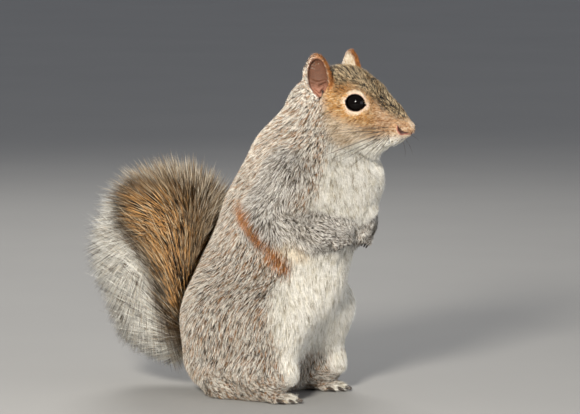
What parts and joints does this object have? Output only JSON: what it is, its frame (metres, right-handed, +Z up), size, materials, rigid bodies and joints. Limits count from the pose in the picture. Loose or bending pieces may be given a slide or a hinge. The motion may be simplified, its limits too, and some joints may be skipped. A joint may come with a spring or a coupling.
{
  "type": "grey squirrel figure",
  "caption": "Life-size model of a grey squirrel sitting upright on its haunches, forepaws folded on its chest and bushy tail raised behind its back",
  "frame": {"origin": "on the floor, under the middle of the animal's bounding box", "axes": "+X is the way the squirrel faces, +Y is its left side, +Z is up"},
  "size_m": [0.2148, 0.0962, 0.2029],
  "materials": {
    "coat": "short grizzled grey and brown fur, white below",
    "tail_hair": "long banded hair, brown at the core, black then white at the tips",
    "ear": "thin skin with fine down and a rusty rim",
    "eye": "wet gloss",
    "nose": "bare fine-grained skin",
    "claw": "satin horn"
  },
  "bodies": {
    "root": {"ear_left": "ear", "ear_right": "ear", "eye_left": "eye", "eye_right": "eye", "foreleg_left": "coat", "foreleg_right": "coat", "forepaw_left": "coat", "forepaw_left_claw_1": "claw", "forepaw_left_claw_2": "claw", "forepaw_left_claw_3": "claw", "forepaw_left_claw_4": "claw", "forepaw_right": "coat", "forepaw_right_claw_1": "claw", "forepaw_right_claw_2": "claw", "forepaw_right_claw_3": "claw", "forepaw_right_claw_4": "claw", "head": "coat", "hindfoot_left": "coat", "hindfoot_left_claw_1": "claw", "hindfoot_left_claw_2": "claw", "hindfoot_left_claw_3": "claw", "hindfoot_left_claw_4": "claw", "hindfoot_left_claw_5": "claw", "hindfoot_right": "coat", "hindfoot_right_claw_1": "claw", "hindfoot_right_claw_2": "claw", "hindfoot_right_claw_3": "claw", "hindfoot_right_claw_4": "claw", "hindfoot_right_claw_5": "claw", "hindleg_left": "coat", "hindleg_right": "coat", "neck": "coat", "nose": "nose", "tail_base": "tail_hair", "tail_crown": "tail_hair", "tail_tip": "tail_hair", "trunk": "coat"}
  },
  "joints": []
}
